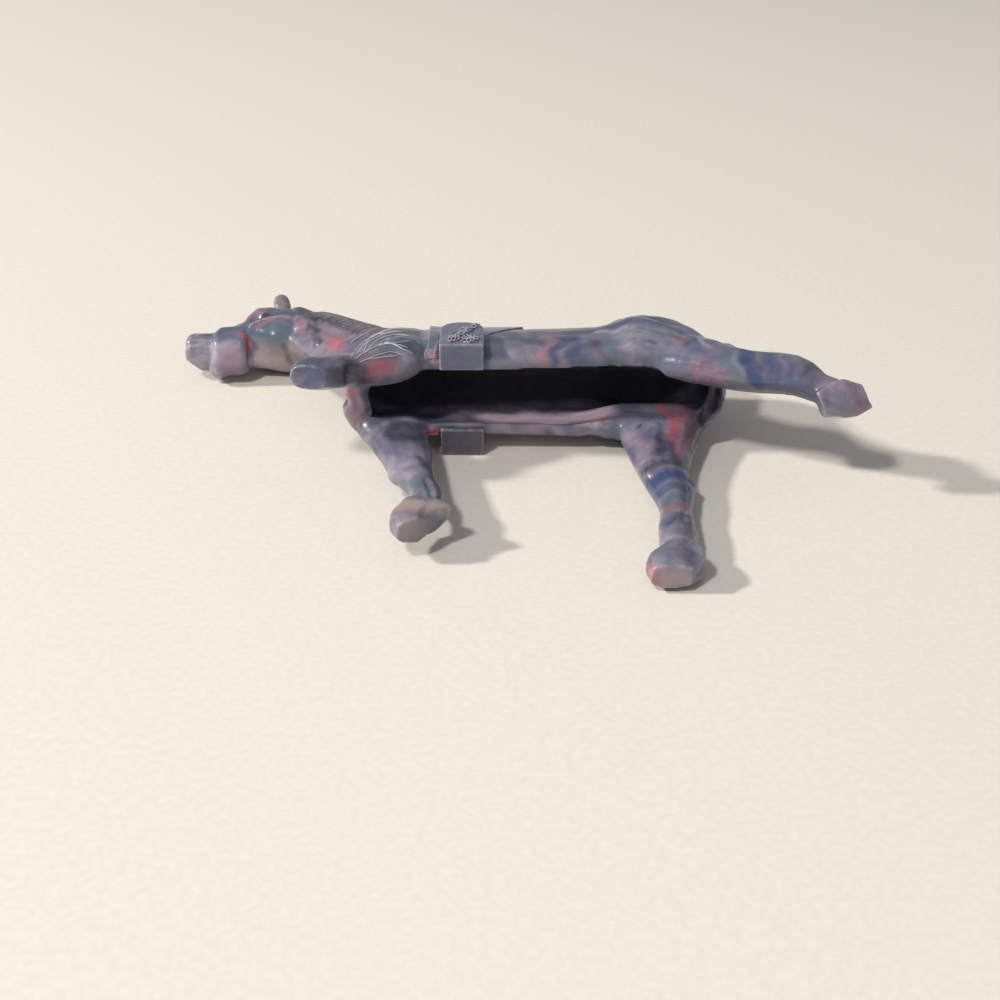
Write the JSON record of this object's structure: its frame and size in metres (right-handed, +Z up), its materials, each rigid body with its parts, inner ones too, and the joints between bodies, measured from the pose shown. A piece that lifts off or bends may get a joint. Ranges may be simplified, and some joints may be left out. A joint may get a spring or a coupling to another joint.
{
  "type": "toy horse figure",
  "caption": "Hollow marbled plastic toy horse at the gallop, open under the belly, with saddle, block stirrups and bridle in relief; it lies on its right side.",
  "frame": {"origin": "middle of the footprint, on the surface that the figure lies on", "axes": "+X from the nose to the tail, +Y from the open belly to the back, +Z up, from the horse's right side to its left"},
  "size_m": [0.1188, 0.0938, 0.0207],
  "materials": {
    "shell": "glossy marbled slate, blue, mauve and coral",
    "saddle": "glossy marbled slate with whitish worn edges",
    "stirrup": "satin slate with light worn edges",
    "tail": "glossy marbled slate"
  },
  "bodies": {
    "root": {"left_half_shell": "shell", "right_half_shell": "shell", "saddle": "saddle", "left_stirrup": "stirrup", "right_stirrup": "stirrup", "tail": "tail"}
  },
  "joints": []
}
